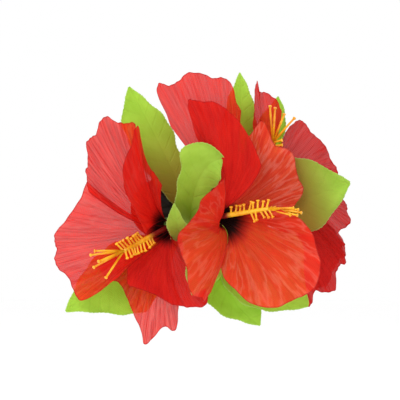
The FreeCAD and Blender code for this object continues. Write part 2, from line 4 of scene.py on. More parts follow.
import bpy
import numpy as np
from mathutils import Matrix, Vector


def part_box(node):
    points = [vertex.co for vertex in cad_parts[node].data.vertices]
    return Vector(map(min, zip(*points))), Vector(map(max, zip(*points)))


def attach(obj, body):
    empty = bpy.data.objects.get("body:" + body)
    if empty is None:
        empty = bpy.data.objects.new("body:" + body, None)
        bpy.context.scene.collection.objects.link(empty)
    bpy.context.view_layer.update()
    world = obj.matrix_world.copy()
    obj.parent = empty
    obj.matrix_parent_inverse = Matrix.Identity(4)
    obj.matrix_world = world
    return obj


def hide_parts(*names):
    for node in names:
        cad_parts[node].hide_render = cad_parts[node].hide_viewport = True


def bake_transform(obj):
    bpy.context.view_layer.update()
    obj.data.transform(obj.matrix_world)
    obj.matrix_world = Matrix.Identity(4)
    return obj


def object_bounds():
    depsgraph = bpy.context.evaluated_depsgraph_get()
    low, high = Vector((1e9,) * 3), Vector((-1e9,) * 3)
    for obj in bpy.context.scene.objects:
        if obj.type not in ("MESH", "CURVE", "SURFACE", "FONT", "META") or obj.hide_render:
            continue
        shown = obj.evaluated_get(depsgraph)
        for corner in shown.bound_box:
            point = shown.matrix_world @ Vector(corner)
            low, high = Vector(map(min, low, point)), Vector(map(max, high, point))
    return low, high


# Flower hair clip, in metres. The frame is the design's: the flowers face -Y, +Z is up as worn.
# Places in the tables are (x, out, z) in millimetres, where out is the distance from the scalp face.

MM = 0.001
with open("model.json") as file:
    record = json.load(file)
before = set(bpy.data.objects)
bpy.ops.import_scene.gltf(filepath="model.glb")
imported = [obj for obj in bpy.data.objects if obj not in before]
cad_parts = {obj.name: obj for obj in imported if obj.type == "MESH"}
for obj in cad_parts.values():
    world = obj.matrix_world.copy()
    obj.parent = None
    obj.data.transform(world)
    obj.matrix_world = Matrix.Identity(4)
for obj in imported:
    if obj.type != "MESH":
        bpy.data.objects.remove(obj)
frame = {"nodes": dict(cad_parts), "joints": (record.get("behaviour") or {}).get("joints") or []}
cad_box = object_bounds()

# Each flower: throat, how ruffled its rims are, the way it faces, the angle of its first petal, the end
# of its column and the tips of its branches, the number of filaments on one side of the column, on the
# other and facing the front, their step along it, and how far painted shade darkens its column.
# Each petal: how far it rises first, length of the painted shade in its throat, how creased, its
# painted light tint (painted orange sheen above 0, painted deep red shade below) and how close its
# weave is, then the points that its outer rim passes through.
FLOWERS = {
    "left": {
        "throat": (-16.5, 24, -9),
        "ruffled": 0.3,
        "facing": (-0.64, 0.66, -0.38),
        "first_angle": -30,
        "column_tip": (-39, 46, -21),
        "branches": [(-53, 52, -21), (-55, 56, -23), (-51, 59, -26), (-53.5, 54, -29),
                     (-47.5, 55, -34)],
        "filaments": (8, 10, 7),
        "filament_step": 0.065,
        "column_shade_reach": 18,
        "petals": {
            "inner": (7, 16, 0.4, -0.1, 0.03, [
                (-19.5, 36, 11), (-27.5, 42, 24), (-32.5, 46, 41), (-36.5, 52, 25), (-39.5, 56, 10),
                (-27.5, 52, -12)]),
            "upper": (7, 9, 1, 0, 0.01, [
                (-33, 33, 41), (-46.5, 34, 45), (-55.5, 35, 36), (-57.5, 38, 23), (-57.5, 42, 9)]),
            "side": (7, 12, 0.6, 0, 0, [
                (-57, 36, 13), (-71, 33, -10), (-74, 32, -21), (-69.5, 32, -32), (-60, 35, -45),
                (-42, 39, -35)]),
            "lower": (4, 10, 0.9, 0.1, 0, [
                (-52.5, 26, -29), (-49, 26, -35), (-41, 28, -37), (-37, 31, -49), (-30.5, 33, -60),
                (-27.5, 34, -68), (-19, 33, -60), (-13.5, 32, -59.5), (-11, 30, -51), (-11, 29, -44)]),
            "right": (7, 14, 0.4, -0.3, 0.08, [
                (-37.5, 38, -30), (-36, 39, -39), (-23.5, 40, -43), (-12, 40, -48), (-4, 39, -50),
                (2, 38, -46), (1, 36, -37), (-3, 33, -27), (-8, 30, -17)]),
        },
    },
    "middle": {
        "throat": (7.5, 34, -4),
        "ruffled": 0.2,
        "facing": (0.88, 0.44, -0.06),
        "first_angle": -122,
        "column_tip": (33, 48, 0),
        "branches": [(49, 55, -2), (47.5, 54, -0.5), (47, 56, -3.2), (45, 54, 0.3), (43.5, 55.5, -3)],
        "filaments": (5, 9, 4),
        "filament_step": 0.09,
        "column_shade_reach": 9,
        "petals": {
            "lower": (7, 20, 0.3, 0.35, 0, [
                (9.5, 44, -25), (11, 47, -34.5), (17, 50, -42), (25, 52, -46.5), (38, 54, -48),
                (48.5, 55, -45), (53.5, 55, -41), (58, 55, -32), (59, 55, -23), (55, 56, -13),
                (48, 56, -5.5), (39, 55, -1)]),
            "right": (5, 11, 0.2, 1, -0.03, [
                (43.5, 35, -1), (48.5, 36, 4), (50, 36, 11), (47.5, 36, 20), (43, 36, 29),
                (35.5, 36, 34), (29.5, 36, 43), (22.5, 37, 36)]),
            "back": (5, 8, 0.4, -0.1, 0.02, [
                (19, 33, 48), (16.5, 35, 60), (10.5, 37, 64), (1.5, 39, 68), (-8.5, 37, 65),
                (-17.5, 35, 63), (-22, 33, 58), (-16, 31, 42)]),
            "front": (8, 12, 0.2, -0.2, 0.03, [
                (29.5, 45, 21), (26.5, 46, 31), (18, 47, 43), (10, 47, 52), (2, 46, 52), (-6, 44, 56),
                (-6, 43, 48), (-3.5, 41, 36)]),
            "curled": (4, 7, 0.25, 0.25, 0, [
                (11.5, 52, 15), (-0.5, 55, 5), (-5.5, 56, -6), (-12, 54, -17), (-7.5, 58, -31),
                (-4.5, 60, -43), (0.5, 58, -46), (5, 54, -41)]),
        },
    },
    "right": {
        "throat": (31.5, 21, 4),
        "ruffled": 0.4,
        "facing": (0.3, 0.55, 0.75),
        "first_angle": -28,
        "column_tip": (35.5, 29, 33),
        "branches": [(34, 33, 51), (36.5, 35, 50), (41, 33, 47), (46, 36, 45)],
        "filaments": (6, 6, 3),
        "filament_step": 0.065,
        "column_shade_reach": 9,
        "petals": {
            "upper": (7, 8, 0.6, -0.6, 0.04, [
                (67, 12, 13), (68.5, 12, 21), (61.5, 12, 31), (54, 12, 40), (49, 12, 44.5),
                (44, 13, 42), (39.5, 14, 33)]),
            "spike": (7, 8, 0.4, -0.2, 0.03, [
                (36.5, 20, 38), (39.5, 19, 47), (37.5, 19, 55), (30.5, 20, 58), (28.5, 21, 64),
                (27, 22, 60), (26, 23, 52), (26, 24, 39)]),
            "hidden": (7, 8, 0.4, -0.3, 0, [
                (24, 22, 28), (17, 24, 28), (11.5, 25, 25), (11, 26, 14), (15, 24, 2)]),
            "lower": (7, 8, 0.6, -0.5, 0.06, [
                (49, 20, -46), (54, 19, -48), (58, 19, -43), (65.5, 18, -40), (69, 18, -32),
                (71.5, 17, -27), (71, 17, -22), (71.5, 16, -18), (64, 16, -8)]),
            "side": (7, 8, 0.6, -0.6, 0.04, [
                (56, 11, -41), (65, 11, -35), (70, 11, -27), (71.5, 11, -21), (69.5, 11, -13),
                (74, 11, -7), (74.5, 11, -2), (72.5, 11, 3), (66.5, 12, 9)]),
        },
    },
}
# Every petal leaves a ring round the throat, widens through a funnel and bends out to its rim. Lap and
# twist set each petal's one side over the next. The claw is half the angle that a petal takes up.
PETAL_RING = 3.2
PETAL_CLAW = 40
PETAL_LAP = 0.45
PETAL_TUBE = 9
PETAL_FUNNEL = 6.5
PETAL_TWIST = 1.2
PETAL_REACH = 0.6
PETAL_ROWS, PETAL_COLUMNS = 50, 109
# How far the painted throat shade takes to fade, as a share of its length.
THROAT_SHADE_FADE = 0.6
PEG_LENGTH = 2

# Heel, control point of the bowed midrib, tip, half widths left and right of the midrib at even
# steps from heel to tip, fold, and how strongly painted shade and painted red bounce light turn the
# heel olive.
LEAVES = {
    "top_left": ((-6, 15.5, 0), (-17, 18, 25), (-37, 12, 62),
                 (4, 8, 11, 12.5, 13, 11, 0), (3, 5, 6, 7.5, 9, 5.5, 0), 0.12, 0.9),
    "centre": ((-6, 15.5, -7), (-4, 52, 24), (11, 44, 25),
               (3, 8, 9, 10.5, 15, 9, 0), (1, 4, 7, 9, 9.5, 7, 0), 0.2, 0.3),
    "bottom_left": ((-12, 11, -14), (-41, 19, -31), (-69, 18, -52),
                    (2, 10, 18, 23, 18, 8.5, 0), (2, 8, 13, 14, 12, 7, 0), 0.12, 0.1),
    "top": ((17, 15.5, 4), (21, 20, 37), (19, 14, 69),
            (2, 6, 9, 10, 8.5, 5, 0), (2, 6, 8, 8, 7, 4.7, 0), 0.12, 0.9),
    "right": ((22, 15.5, -3), (34, 44, -1), (75, 22, 13),
              (5, 20, 27, 26, 22, 14.5, 0), (2, 5, 9, 14, 17, 11, 0), 0.1, 2.2),
    "top_right": ((27, 10, 13), (34, 12, 34), (38.5, 6, 57),
                  (2, 5, 8, 8, 7, 4, 0), (2, 5, 7, 7.2, 6.8, 5, 0), 0.12, 0.2),
    "bottom": ((6, 10.5, -14), (8, 20, -45), (29.5, 19, -59),
               (2, 8, 12, 14, 13, 11, 0), (2, 9, 12, 12, 9, 4, 0), 0.12, 0.1),
    "bottom_right": ((14, 15.5, -2), (10, 34, -40), (54, 28, -49),
                     (10, 22, 30, 32, 31, 27, 0), (2, 5, 9, 12, 11, 6.5, 0), 0.12, 0.1),
    "small_left": ((-8, 15.5, -16), (-12, 42, -16), (-14, 33, 3),
                   (1, 3, 4.5, 5, 5, 3.5, 0), (1, 2.5, 4, 4.5, 4, 2.5, 0), 0.12, 0.9),
    "small_lower": ((-2, 15.5, -8), (-5, 46, -16), (-5, 42, -43.5),
                    (4, 11, 15, 16, 16, 13, 0), (4, 6, 6, 5, 3.7, 2.6, 0), 0.1, 0.3),
}
LEAF_FOLD_WIDTH = 3
LEAF_ROWS, LEAF_COLUMNS = 230, 35
LEAF_LAST_ROW = 0.992
LEAF_THICKNESS = 0.3

# Thread pitch of the cloths in metres, as given.
PETAL_WEAVE = 0.0009
LEAF_WEAVE = 0.0008

# Spring: coil and wire radius, pitch and leg length in millimetres, and the length of the bend between
# coil and leg. The angles, where the coil starts and how far the front arm's leg leans, are in degrees.
SPRING_RADIUS = 1.55
SPRING_WIRE = 0.35
SPRING_PITCH = 0.8
SPRING_LEG = 13
SPRING_BEND = 0.6
SPRING_START = 112
SPRING_TURNS = 3 + 158 / 360
SPRING_LEG_ANGLE = 22

# Studio and camera in metres. Each light: name, place, size and power in watts.
FLOOR_HALF = 4.0
FLOOR_DROP = 0.06
LIGHTS = (("key", (-0.7, -1.1, 0.9), 0.6, 9), ("fill", (0.9, -1.2, 0.2), 1.0, 2))
CAMERA_DISTANCE = 2.5
CAMERA_FIELD = 0.2
CAMERA_CENTRE = (-0.001, 0.0043)
SPRAY_MIDDLE_OUT = 0.032

ROOT = "spray"


# Geometry helpers


def place(point):
    """A table point as an array in the frame, in millimetres."""
    x, out, z = point
    return np.array((x, -out, z), float)


def unit(vector):
    return vector / np.linalg.norm(vector, axis=-1, keepdims=True)


def bezier(points, share):
    """Points on the Bezier curve of the control points, for an array of shares."""
    while len(points) > 1:
        points = [a * (1 - share) + b * share for a, b in zip(points, points[1:])]
    return points[0]


def along_rim(points, share):
    """A smooth curve through the points, read at an array of shares from 0 to 1."""
    points = np.array(points)
    spans = len(points) - 1
    index = np.clip((share * spans).astype(int), 0, spans - 1)
    step = (share * spans - index)[..., None]
    padded = np.vstack([2 * points[0] - points[1], points, 2 * points[-1] - points[-2]])
    before, start, end, after = (padded[index + i] for i in range(4))
    return (2 * start + (end - before) * step
            + (2 * before - 5 * start + 4 * end - after) * step**2
            + (3 * start - 3 * end + after - before) * step**3) / 2


def grid_shares(rows, columns, last_row=1.0):
    """Shares along the sheet from 0 and across it from -1 to 1, as two grids."""
    return np.meshgrid(np.linspace(0, last_row, rows), np.linspace(-1, 1, columns), indexing="ij")


def grid_normals(points):
    return unit(np.cross(np.gradient(points, axis=0), np.gradient(points, axis=1)))


def flat_coordinates(points):
    """Distance along and across the sheet for each grid point, measured on its surface."""
    along = np.linalg.norm(np.diff(points, axis=0, prepend=points[:1]), axis=-1).cumsum(axis=0)
    across = np.linalg.norm(np.diff(points, axis=1, prepend=points[:, :1]), axis=-1).cumsum(axis=1)
    middle = points.shape[1] // 2
    return along, across - across[:, middle : middle + 1]


def new_object(name, vertices, faces):
    mesh = bpy.data.meshes.new(name)
    mesh.from_pydata([tuple(v) for v in vertices], [], faces)
    mesh.update()
    mesh.polygons.foreach_set("use_smooth", [True] * len(mesh.polygons))
    made = bpy.data.objects.new(name, mesh)
    bpy.context.scene.collection.objects.link(made)
    return made


def grid_object(name, points, facts):
    """A sheet of quads over a grid of points, with a flat UV map and named values per point."""
    rows, columns = points.shape[:2]
    index = np.arange(rows * columns).reshape(rows, columns)
    corners = [index[:-1, :-1], index[1:, :-1], index[1:, 1:], index[:-1, 1:]]
    faces = np.stack(corners, axis=-1).reshape(-1, 4)
    made = new_object(name, points.reshape(-1, 3) * MM, faces.tolist())
    along, across = flat_coordinates(points)
    flat = np.stack([across, along], axis=-1).reshape(-1, 2) * MM
    loops = np.zeros(len(made.data.loops), int)
    made.data.loops.foreach_get("vertex_index", loops)
    layer = made.data.uv_layers.new(name="flat")
    layer.data.foreach_set("uv", flat[loops].ravel())
    for fact, values in facts.items():
        attribute = made.data.attributes.new(fact, "FLOAT", "POINT")
        attribute.data.foreach_set("value", np.asarray(values, np.float32).ravel())
    return made


def tube_parts(path, radii, sides=14):
    """Vertices and faces of a closed round tube with a radius at each point of its path."""
    path = np.array(path, float)
    tangents = unit(np.gradient(path, axis=0))
    helper = np.array((0, 0, 1.0)) if abs(tangents[0][2]) < 0.9 else np.array((1.0, 0, 0))
    across = unit(np.cross(tangents[0], helper))
    turns = np.linspace(0, 2 * math.pi, sides, endpoint=False)
    vertices, faces = [], []
    for point, tangent, radius in zip(path, tangents, radii):
        across = unit(across - tangent * np.dot(across, tangent))
        third = np.cross(tangent, across)
        vertices += [point + radius * (across * math.cos(t) + third * math.sin(t)) for t in turns]
    for ring in range(len(path) - 1):
        for side in range(sides):
            a, b = ring * sides + side, ring * sides + (side + 1) % sides
            faces.append((a, b, b + sides, a + sides))
    faces.append(tuple(range(sides - 1, -1, -1)))
    faces.append(tuple(range((len(path) - 1) * sides, len(path) * sides)))
    return vertices, faces


def tubes_object(name, tubes):
    """One piece from several tubes, given as (path, radii) in millimetres."""
    vertices, faces = [], []
    for path, radii in tubes:
        more, their_faces = tube_parts(path, radii)
        base = len(vertices)
        vertices += more
        faces += [tuple(base + i for i in face) for face in their_faces]
    return new_object(name, np.array(vertices) * MM, faces)


# Materials


class Nodes:
    """A material's node tree with short ways to add and join nodes."""

    def __init__(self, name):
        self.material = bpy.data.materials.new(name)
        self.material.use_nodes = True
        self.tree = self.material.node_tree
        self.tree.nodes.clear()

    def add(self, kind, inputs=None, **settings):
        node = self.tree.nodes.new(kind)
        for key, value in settings.items():
            setattr(node, key, value)
        for socket, value in (inputs or {}).items():
            self.give(node.inputs[socket], value)
        return node

    def give(self, socket, value):
        if isinstance(value, bpy.types.NodeSocket):
            self.tree.links.new(value, socket)
        else:
            socket.default_value = value

    def math(self, operation, *values, clamp=False):
        node = self.add("ShaderNodeMath", operation=operation, use_clamp=clamp)
        for socket, value in zip(node.inputs, values):
            self.give(socket, value)
        return node.outputs[0]

    def mix(self, share, first, second):
        node = self.add("ShaderNodeMix", data_type="RGBA")
        for socket, value in zip((0, 6, 7), (share, first, second)):
            self.give(node.inputs[socket], value)
        return node.outputs[2]

    def fact(self, name):
        return self.add("ShaderNodeAttribute", attribute_name=name).outputs["Fac"]

    def flat(self):
        return self.add("ShaderNodeUVMap", uv_map="flat").outputs["UV"]

    def spread(self, value, low, high, out_low=0.0, out_high=1.0):
        settings = dict(zip(range(5), (value, low, high, out_low, out_high)))
        return self.add("ShaderNodeMapRange", settings, interpolation_type="SMOOTHSTEP").outputs[0]

    def stretched_noise(self, vector, scale, detail=2.0):
        """Noise that runs long one way, as threads and streaks do."""
        mapping = self.add("ShaderNodeMapping", {"Vector": vector, "Scale": scale})
        settings = {"Vector": mapping.outputs[0], "Scale": 1.0, "Detail": detail}
        return self.add("ShaderNodeTexNoise", settings).outputs["Fac"]

    def threads(self, pitch):
        """Warp and weft ridges of a plain weave, from 0 between the threads to 1 on them."""
        ridges = []
        for direction in ("X", "Y"):
            settings = {"Vector": self.flat(), "Scale": math.pi / 10 / pitch, "Distortion": 0.6}
            wave = self.add("ShaderNodeTexWave", settings, wave_profile="SIN",
                            bands_direction=direction)
            ridges.append(wave.outputs["Fac"])
        return self.math("MULTIPLY", self.math("ADD", *ridges), 0.5)

    def bump(self, height, distance, strength=1.0):
        settings = {"Height": height, "Distance": distance, "Strength": strength}
        return self.add("ShaderNodeBump", settings).outputs[0]

    def finish(self, shader):
        self.add("ShaderNodeOutputMaterial", {"Surface": shader})
        return self.material


def colour(red, green, blue):
    return (red, green, blue, 1.0)


def sheer_red():
    """Sheer woven petal fabric: threads, pressed crease lines, heat-cut edge, painted shade in the
    throat, painted sheen, painted highlights and painted deep red shade on shaded petals.
    """
    nodes = Nodes("sheer_red")
    along, across, edge = nodes.fact("along"), nodes.fact("across"), nodes.fact("edge")
    threads = nodes.threads(PETAL_WEAVE)
    slubs = nodes.stretched_noise(nodes.flat(), (2400.0, 90.0, 1.0))
    cloud = nodes.stretched_noise(nodes.flat(), (55.0, 40.0, 1.0), 3.0)
    fan = nodes.add("ShaderNodeCombineXYZ", {"X": across, "Y": along}).outputs[0]
    streaks = nodes.stretched_noise(fan, (9.0, 1.4, 1.0), 4.0)
    folds = nodes.stretched_noise(fan, (13.0, 0.9, 1.0), 2.0)
    ridge = nodes.math("SUBTRACT", 1.0, nodes.math("MULTIPLY", nodes.math(
        "ABSOLUTE", nodes.math("SUBTRACT", folds, 0.5)), 28.0), clamp=True)
    crease_lines_and_shade = nodes.math("MULTIPLY", ridge, nodes.spread(along, 0.25, 0.6))
    crease_lines_and_shade = nodes.math("MULTIPLY", crease_lines_and_shade, nodes.fact("creased"))
    tone = nodes.math("ADD", nodes.math("MULTIPLY", streaks, 0.4), nodes.math("MULTIPLY", cloud, 0.6))
    body = nodes.mix(nodes.spread(tone, 0.35, 0.65),
                     colour(0.68, 0.008, 0.005), colour(0.88, 0.018, 0.008))
    # Painted light per petal: above 0 a painted orange sheen, below 0 a painted deep red shade.
    painted_light_tint = nodes.fact("painted_light_tint")
    painted_sheen_share = nodes.math("MULTIPLY", painted_light_tint, nodes.spread(folds, 0.35, 0.65, 0.45, 1.0), clamp=True)
    body = nodes.mix(painted_sheen_share, body, colour(0.9, 0.085, 0.035))
    body = nodes.mix(nodes.math("MULTIPLY", painted_light_tint, -1.0, clamp=True), body, colour(0.4, 0.008, 0.008))
    # Painted highlights: pale glints along noise streaks towards the rim, stronger where the painted
    # sheen is.
    glint_noise = nodes.stretched_noise(fan, (7.0, 2.6, 1.0), 3.0)
    painted_glints = nodes.math("SUBTRACT", 1.0, nodes.math("MULTIPLY", nodes.math(
        "ABSOLUTE", nodes.math("SUBTRACT", glint_noise, 0.52)), 16.0), clamp=True)
    painted_glints = nodes.math("MULTIPLY", painted_glints, nodes.spread(along, 0.35, 0.75))
    strength = nodes.math("ADD", 0.12, nodes.math("MULTIPLY", painted_light_tint, 0.5))
    painted_glints = nodes.math("MULTIPLY", painted_glints, strength, clamp=True)
    body = nodes.mix(painted_glints, body, colour(0.97, 0.24, 0.17))
    # Crease lines darken: partly denser folded cloth, partly painted shade in the creases.
    body = nodes.mix(nodes.math("MULTIPLY", crease_lines_and_shade, 0.35), body, colour(0.36, 0.003, 0.005))
    # Painted shade: near black into the throat, where the funnel lies in shadow; there the cloth is
    # also made opaque.
    ragged = nodes.math("MULTIPLY", nodes.math("SUBTRACT", streaks, 0.5), 0.8)
    throat_shade = nodes.spread(nodes.math("ADD", nodes.fact("throat"), ragged), 0.0, 1.0)
    body = nodes.mix(throat_shade, body, colour(0.012, 0.0015, 0.0015))
    rim = nodes.spread(edge, 0.0, 0.8, 1.0, 0.0)
    body = nodes.mix(nodes.math("MULTIPLY", rim, 0.65), body, colour(0.34, 0.008, 0.012))
    cover = nodes.math("ADD", 0.87, nodes.math("MULTIPLY", threads, 0.09))
    cover = nodes.math("ADD", cover, nodes.math("MULTIPLY", nodes.math("SUBTRACT", slubs, 0.5), 0.12))
    cover = nodes.math("ADD", cover, nodes.math("MULTIPLY", nodes.math("SUBTRACT", streaks, 0.5), 0.09))
    cover = nodes.math("ADD", cover, nodes.math("MULTIPLY", crease_lines_and_shade, 0.05))
    cover = nodes.math("ADD", cover, nodes.fact("closeness"))
    cover = nodes.math("ADD", cover, nodes.math("MULTIPLY", rim, 0.08))
    cover = nodes.math("ADD", cover, nodes.math("MULTIPLY", throat_shade, 0.3), clamp=True)
    relief = nodes.math("ADD", streaks, nodes.math("MULTIPLY", threads, 0.12))
    relief = nodes.math("SUBTRACT", relief, nodes.math("MULTIPLY", crease_lines_and_shade, 0.35))
    normal = nodes.bump(relief, 0.0012, 0.7)
    front = nodes.add("ShaderNodeBsdfPrincipled", {
        "Base Color": body, "Roughness": 0.5, "Normal": normal,
        "Specular IOR Level": 0.12})
    through = nodes.add("ShaderNodeBsdfTranslucent", {"Color": body, "Normal": normal})
    cloth = nodes.add("ShaderNodeMixShader", {0: 0.45, 1: front.outputs[0], 2: through.outputs[0]})
    clear = nodes.add("ShaderNodeBsdfTransparent")
    sheer = nodes.add("ShaderNodeMixShader", {0: cover, 1: clear.outputs[0], 2: cloth.outputs[0]})
    return nodes.finish(sheer.outputs[0])


def leaf_green():
    """Stiffened green fabric with pressed veins, a pale cut edge, and painted shade and red bounce
    light that turn the heel olive.
    """
    nodes = Nodes("leaf_green")
    painted_heel_shade_and_bounce, vein, edge = nodes.fact("painted_heel_shade_and_bounce"), nodes.fact("vein"), nodes.fact("edge")
    threads = nodes.threads(LEAF_WEAVE)
    cloud = nodes.stretched_noise(nodes.flat(), (70.0, 50.0, 1.0), 3.0)
    slubs = nodes.stretched_noise(nodes.flat(), (1500.0, 120.0, 1.0))
    body = nodes.mix(nodes.spread(cloud, 0.3, 0.7), colour(0.41, 0.66, 0.045), colour(0.54, 0.8, 0.09))
    body = nodes.mix(nodes.math("MULTIPLY", slubs, 0.25), body, colour(0.62, 0.85, 0.18))
    body = nodes.mix(nodes.math("MULTIPLY", vein, 0.07), body, colour(0.3, 0.46, 0.04))
    # Painted shade and painted red bounce light: the heel turns olive-brown, fading out along the
    # blade.
    body = nodes.mix(nodes.spread(painted_heel_shade_and_bounce, 0.1, 0.9), body, colour(0.37, 0.25, 0.02))
    body = nodes.mix(nodes.spread(edge, 0.0, 0.6, 0.5, 0.0), body, colour(0.68, 0.88, 0.3))
    relief = nodes.math("ADD", nodes.math("MULTIPLY", threads, 0.25),
                        nodes.math("MULTIPLY", vein, -0.4))
    normal = nodes.bump(relief, 0.0004, 0.6)
    front = nodes.add("ShaderNodeBsdfPrincipled", {
        "Base Color": body, "Roughness": 0.6, "Normal": normal, "Sheen Weight": 0.1,
        "Specular IOR Level": 0.3})
    through = nodes.add("ShaderNodeBsdfTranslucent", {"Color": body, "Normal": normal})
    cloth = nodes.add("ShaderNodeMixShader", {0: 0.5, 1: front.outputs[0], 2: through.outputs[0]})
    return nodes.finish(cloth.outputs[0])


def object_noise(nodes, scale, detail=3.0):
    vector = nodes.add("ShaderNodeTexCoord").outputs["Object"]
    settings = {"Vector": vector, "Scale": scale, "Detail": detail}
    return nodes.add("ShaderNodeTexNoise", settings).outputs["Fac"]


def solid_finish(name, dark, light, rough, noise_scale, bump_height, **constants):
    """A solid material whose colour, roughness and relief vary with noise."""
    nodes = Nodes(name)
    noise = object_noise(nodes, noise_scale)
    fine = object_noise(nodes, noise_scale * 6, 2.0)
    body = nodes.mix(nodes.spread(noise, 0.3, 0.7), colour(*dark), colour(*light))
    settings = {
        "Base Color": body,
        "Roughness": nodes.spread(noise, 0.2, 0.8, *rough),
        "Normal": nodes.bump(fine, bump_height, 0.6),
    }
    settings.update({key.replace("_", " "): value for key, value in constants.items()})
    shader = nodes.add("ShaderNodeBsdfPrincipled", settings)
    return nodes.finish(shader.outputs[0])


def golden_plastic():
    """Moulded golden plastic, with painted shade in dark red where the column leaves the throat."""
    nodes = Nodes("golden_plastic")
    noise, fine = object_noise(nodes, 180.0), object_noise(nodes, 1080.0, 2.0)
    gold = nodes.mix(nodes.spread(noise, 0.3, 0.7),
                     colour(0.74, 0.28, 0.004), colour(0.93, 0.48, 0.012))
    # Painted shade: the column turns dark red near the throat, where it sits in the shaded funnel.
    unshaded_share = nodes.spread(nodes.fact("from_throat"), 0.6, 1.0)
    shader = nodes.add("ShaderNodeBsdfPrincipled", {
        "Base Color": nodes.mix(unshaded_share, colour(0.22, 0.008, 0.006), gold),
        "Roughness": nodes.spread(noise, 0.2, 0.8, 0.3, 0.45),
        "Normal": nodes.bump(fine, 0.0001, 0.6), "Subsurface Weight": 0.25, "Subsurface Scale": 0.002})
    return nodes.finish(shader.outputs[0])


def green_plastic():
    return solid_finish("green_plastic", (0.06, 0.13, 0.015), (0.12, 0.22, 0.03), (0.35, 0.5),
                        160.0, 0.0001)


def set_glue():
    return solid_finish("set_glue", (0.004, 0.004, 0.003), (0.012, 0.012, 0.008), (0.35, 0.5),
                        120.0, 0.0004, Specular_IOR_Level=0.25)


def black_felt():
    return solid_finish("black_felt", (0.003, 0.003, 0.003), (0.012, 0.011, 0.011), (0.9, 1.0), 900.0,
                        0.0006, Specular_IOR_Level=0.15, Sheen_Weight=0.08)


def nickel_plate():
    return solid_finish("nickel_plate", (0.36, 0.36, 0.37), (0.44, 0.44, 0.43), (0.2, 0.34),
                        90.0, 0.00003, Metallic=1.0)


def spring_wire():
    return solid_finish("spring_wire", (0.2, 0.2, 0.21), (0.32, 0.32, 0.32), (0.25, 0.4),
                        400.0, 0.00003, Metallic=1.0)


def paint(piece, material):
    piece.data.materials.clear()
    piece.data.materials.append(material)


def paint_node(name, material):
    for slot in frame["nodes"][name].material_slots:
        slot.material = material


# Petals


def petal_grid(flower, order, rise, rim, along, across):
    """The petal's smooth shape: up from the ring as part of a tube, then out to its rim."""
    facing = unit(place(flower["facing"]))
    throat = place(flower["throat"])
    up = unit(np.array((0, 0, 1.0)) - facing * facing[2])
    third = np.cross(facing, up)
    angle = np.radians(flower["first_angle"] + 72 * order + across * PETAL_CLAW)[..., None]
    spoke = up * np.cos(angle) + third * np.sin(angle)
    lap = (PETAL_LAP * across)[..., None]
    ring = throat + spoke * (PETAL_RING + lap)
    twist = (PETAL_TWIST * across)[..., None]
    tube = throat + spoke * (PETAL_FUNNEL + lap) + facing * (PETAL_TUBE + twist)
    outer = along_rim([place(point) for point in rim], (across + 1) / 2)
    shoulder = throat + (outer - throat) * PETAL_REACH + facing * (rise + twist)
    return bezier([ring, tube, shoulder, outer], along[..., None])


def petal_relief(along, across, creased, seed):
    """Height of ruffles, pleats and pressed veins over the smooth shape, in millimetres."""
    chance = np.random.default_rng(seed)
    phases = chance.uniform(0, 2 * math.pi, 6)
    ruffle = 0.9 * np.sin(5.2 * across + phases[0]) + 0.5 * np.sin(9.5 * across + phases[1])
    frill = 0.35 * np.sin(17 * across + phases[2]) + 0.2 * np.sin(27 * across + phases[3])
    pleats = creased * (0.4 * np.abs(np.sin(19 * across + phases[4] + 0.8 * np.sin(3 * across)))
                        + 0.22 * np.abs(np.sin(33 * across + phases[5] + 0.6 * along)))
    slant, cross = chance.uniform(0, 2 * math.pi, 2)
    crumple = 0.28 * np.sin(19 * across + 7 * along + slant) * np.sin(11 * along - 6 * across + cross)
    crumple = crumple + 0.12 * (
        np.sin(37 * across - 13 * along + cross)) * np.sin(21 * along + 9 * across)
    pleats = pleats * np.sin(math.pi * along**0.8) * along
    return ruffle * along**2.5 + frill * along**5 + crumple * along**1.5 + pleats


def make_petal(flower_name, order, petal, material):
    flower = FLOWERS[flower_name]
    rise, throat_shade_length, creased, painted_light_tint, closeness, rim = flower["petals"][petal]
    seed = 10 * list(FLOWERS).index(flower_name) + order
    along, across = grid_shares(PETAL_ROWS, PETAL_COLUMNS)
    chance = np.random.default_rng(100 + seed)
    phase = chance.uniform(0, 2 * math.pi, 3)
    scallops = 0.022 * np.sin(11 * across + phase[0]) + flower["ruffled"] * (
        0.014 * np.sin(27 * across + phase[1]) + 0.008 * np.sin(57 * across + phase[2]))
    stretched = along * (1 + scallops * along**4)
    points = petal_grid(flower, order, rise, rim, stretched, across)
    points = points + grid_normals(points) * petal_relief(along, across, creased, seed)[..., None]
    lengths, widths = flat_coordinates(points)
    to_rim = lengths[-1:] - lengths
    to_side = np.minimum(np.abs(widths - widths[:, :1]), np.abs(widths - widths[:, -1:]))
    name = f"{flower_name}_petal_{petal}"
    # Per point values: throat places the painted throat shade, and the tint value gives each petal's
    # painted sheen or painted shade.
    piece = grid_object(f"{name}_cloth", points, {
        "along": along, "across": across, "edge": np.minimum(to_rim, to_side),
        "throat": (throat_shade_length - lengths) / (throat_shade_length * THROAT_SHADE_FADE), "creased": np.full_like(along, creased),
        "closeness": np.full_like(along, closeness), "painted_light_tint": np.full_like(along, painted_light_tint)})
    paint(piece, material)
    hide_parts(name)
    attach(piece, ROOT)


# Leaves


